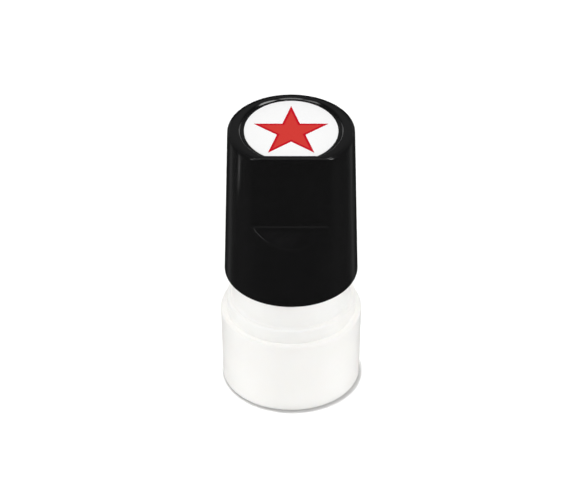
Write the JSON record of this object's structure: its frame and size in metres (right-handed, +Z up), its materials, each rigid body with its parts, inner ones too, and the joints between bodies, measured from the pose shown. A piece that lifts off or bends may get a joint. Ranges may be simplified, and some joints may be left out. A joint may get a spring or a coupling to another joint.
{
  "type": "pre-inked rubber stamp",
  "caption": "Round pre-inked hand stamp: tapered handle with a grip flat and a star label, sprung plunger with a star die in a sleeve, standing in its cup-shaped dust cap.",
  "frame": {"origin": "on the table under the stamp's axis, at the centre of the dust cap's foot", "axes": "+Z up along the stamp's axis, -Y towards the handle's grip flat, +X to the right of it"},
  "size_m": [0.025, 0.025, 0.0527],
  "materials": {
    "cap_plastic": "smooth white moulded plastic, soft gloss",
    "sleeve_plastic": "smooth white moulded plastic, soft gloss",
    "handle_plastic": "polished black moulded plastic",
    "ring_plastic": "fine matt black moulded plastic",
    "natural_plastic": "uncoloured moulded plastic",
    "steel": "stamped sheet steel",
    "spring_wire": "drawn stainless wire",
    "die_rubber": "fine-pored rubber, soaked with red ink",
    "felt": "dense felt, soaked with red ink",
    "seal_rubber": "black rubber",
    "label_paper": "white coated paper",
    "label_ink": "red printing ink"
  },
  "bodies": {
    "cap": {"dust_cap": "cap_plastic"},
    "sleeve": {"sleeve": "sleeve_plastic", "spring_washer": "steel", "return_spring": "spring_wire"},
    "plunger": {"die_holder": "natural_plastic", "die_ring": "ring_plastic", "stamp_die": "die_rubber", "ink_grid": "natural_plastic", "ink_felt": "felt", "spring_collar": "natural_plastic", "retaining_clip": "steel", "o_ring": "seal_rubber"},
    "handle": {"handle": "handle_plastic", "stem_seal": "seal_rubber", "index_label": "label_paper", "star_print": "label_ink"}
  },
  "joints": [
    {"name": "cap_off", "type": "slide", "parent": "cap", "child": "sleeve", "axis": [0, 0, 1], "range_m": [0, 0.03]},
    {"name": "press", "type": "slide", "parent": "sleeve", "child": "plunger", "axis": [0, 0, -1], "range_m": [0, 0.0036], "stiffness_N_per_m": 900, "springref_m": -0.003, "deforming": ["return_spring"]},
    {"name": "handle_off", "type": "slide", "parent": "plunger", "child": "handle", "axis": [0, 0, 1], "range_m": [0, 0.03]}
  ]
}
